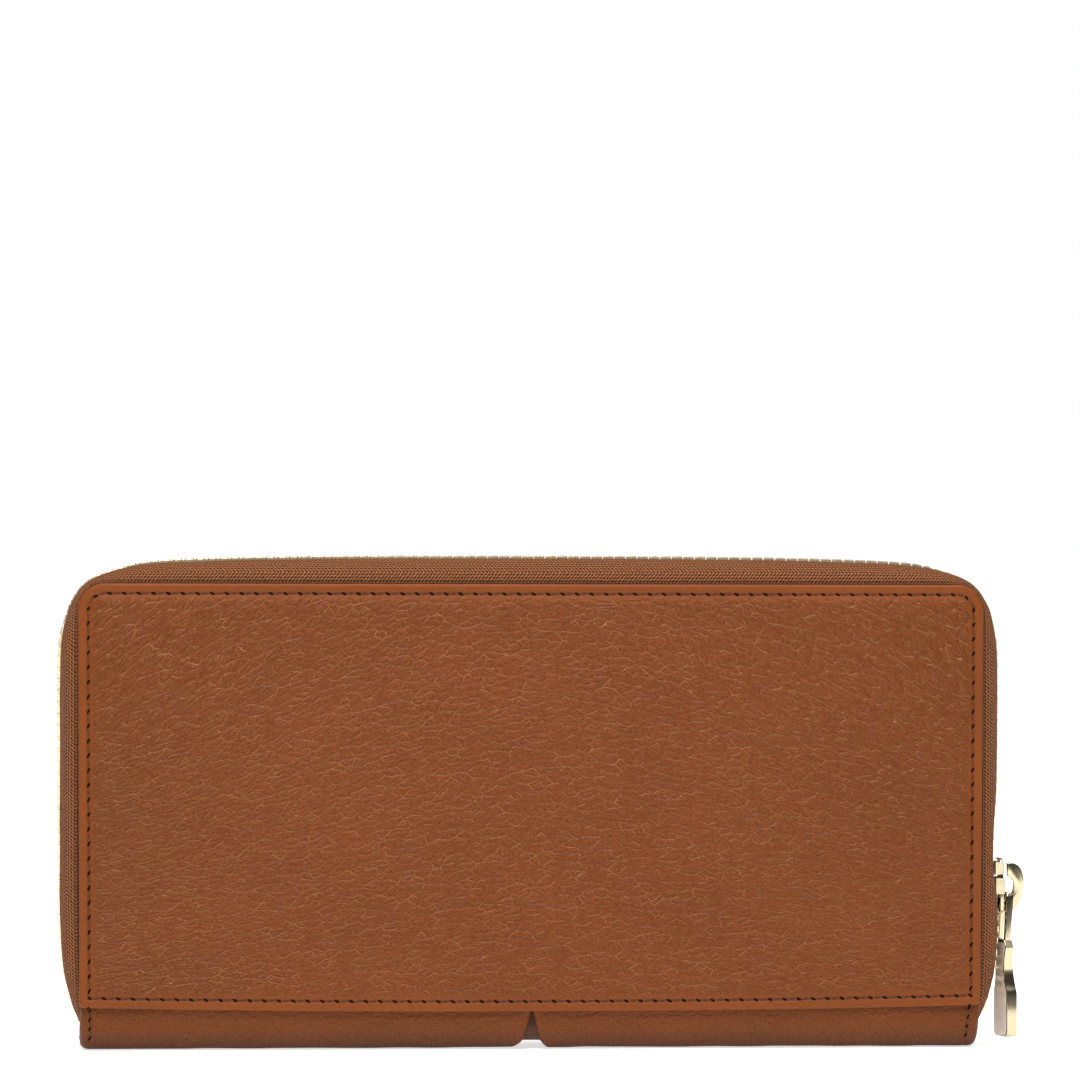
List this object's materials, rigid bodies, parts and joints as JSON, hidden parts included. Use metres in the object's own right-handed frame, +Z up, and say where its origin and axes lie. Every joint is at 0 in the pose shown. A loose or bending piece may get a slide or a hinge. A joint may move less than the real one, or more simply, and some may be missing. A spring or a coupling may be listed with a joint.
{
  "type": "zip around wallet",
  "caption": "Long zip around wallet standing on its spine: two covers, three-sided zip with slider and puller, card leaves, coin pocket and side gussets.",
  "frame": {"origin": "on the surface the wallet stands on, under the middle of its overall box (the slider's hook makes the box reach further at +X, so the covers are centred 2.9 mm to -X)", "axes": "+Z up from the spine to the zip's top run, +X towards the side with the main zip slider, -Y out of the rear cover, +Y out of the front cover"},
  "size_m": [0.2008, 0.0232, 0.1014],
  "materials": {
    "pebbled_leather": "pebbled tan leather, semi-matt",
    "smooth_leather": "smooth tan leather, semi-matt",
    "dark_leather": "dark brown leather, matt",
    "board": "grey stiffener board",
    "lining": "brown woven lining",
    "zip_tape": "brown woven zip tape",
    "zip_metal": "pale gold plated metal, polished",
    "coil": "dark brown nylon coil"
  },
  "bodies": {
    "back_cover": {"back_panel_leather": "pebbled_leather", "back_board": "board", "back_lining": "lining", "back_card_leaf_left_1": "smooth_leather", "back_card_leaf_left_2": "smooth_leather", "back_card_leaf_left_3": "smooth_leather", "back_card_leaf_right_1": "smooth_leather", "back_card_leaf_right_2": "smooth_leather", "back_card_leaf_right_3": "smooth_leather", "spine_leather_left": "smooth_leather", "spine_leather_right": "smooth_leather", "spine_underlay": "dark_leather", "spine_board": "board", "spine_lining": "lining", "zip_tape_back": "zip_tape", "zip_teeth_back": "zip_metal", "zip_bottom_stop": "zip_metal", "zip_top_stop_back": "zip_metal", "gusset_back_left": "lining", "gusset_back_right": "lining"},
    "front_cover": {"front_panel_left": "pebbled_leather", "front_panel_right": "pebbled_leather", "front_seam_underlay": "dark_leather", "front_board": "board", "front_lining": "lining", "front_card_leaf_left_1": "smooth_leather", "front_card_leaf_left_2": "smooth_leather", "front_card_leaf_left_3": "smooth_leather", "front_card_leaf_right_1": "smooth_leather", "front_card_leaf_right_2": "smooth_leather", "front_card_leaf_right_3": "smooth_leather", "zip_tape_front": "zip_tape", "zip_teeth_front": "zip_metal", "zip_top_stop_front": "zip_metal", "gusset_front_left": "lining", "gusset_front_right": "lining"},
    "coin_pocket": {"coin_pocket_back_wall": "lining", "coin_pocket_front_wall": "lining", "coin_pocket_bottom": "lining", "coin_pocket_side_left": "lining", "coin_pocket_side_right": "lining", "coin_zip_tape_back": "zip_tape", "coin_zip_tape_front": "zip_tape", "coin_zip_coil_back": "coil", "coin_zip_coil_front": "coil"},
    "slider": {"zip_slider": "zip_metal"},
    "puller": {"zip_puller": "zip_metal"},
    "coin_slider": {"coin_zip_slider": "zip_metal"},
    "coin_puller": {"coin_zip_puller": "zip_metal"}
  },
  "joints": [
    {"name": "front_cover_opening", "type": "hinge", "parent": "back_cover", "child": "front_cover", "pos_m": [0, 0.009, 0.0035], "axis": [-1, 0, 0], "range_deg": [0, 60], "deforming": ["gusset_front_left", "gusset_front_right"]},
    {"name": "coin_pocket_lean", "type": "hinge", "parent": "back_cover", "child": "coin_pocket", "pos_m": [0, 0.009, 0.0035], "axis": [-1, 0, 0], "range_deg": [0, 30], "deforming": ["gusset_back_left", "gusset_back_right"]},
    {"name": "zip_slider_run", "type": "slide", "parent": "back_cover", "child": "slider", "axis": [0, 0, 1], "range_m": [-0.012, 0.036]},
    {"name": "zip_puller_swing", "type": "hinge", "parent": "slider", "child": "puller", "pos_m": [0.09745, 0, 0.03235], "axis": [0.2079, -0.9781, 0], "range_deg": [0, 175]},
    {"name": "coin_slider_run", "type": "slide", "parent": "coin_pocket", "child": "coin_slider", "axis": [1, 0, 0], "range_m": [-0.14, 0]},
    {"name": "coin_puller_swing", "type": "hinge", "parent": "coin_slider", "child": "coin_puller", "pos_m": [0.0761, 0, 0.084], "axis": [0, 1, 0], "range_deg": [0, 90]}
  ],
  "couplings": [
    {"joint": "coin_pocket_lean", "follows": "front_cover_opening", "ratio": 0.5}
  ]
}
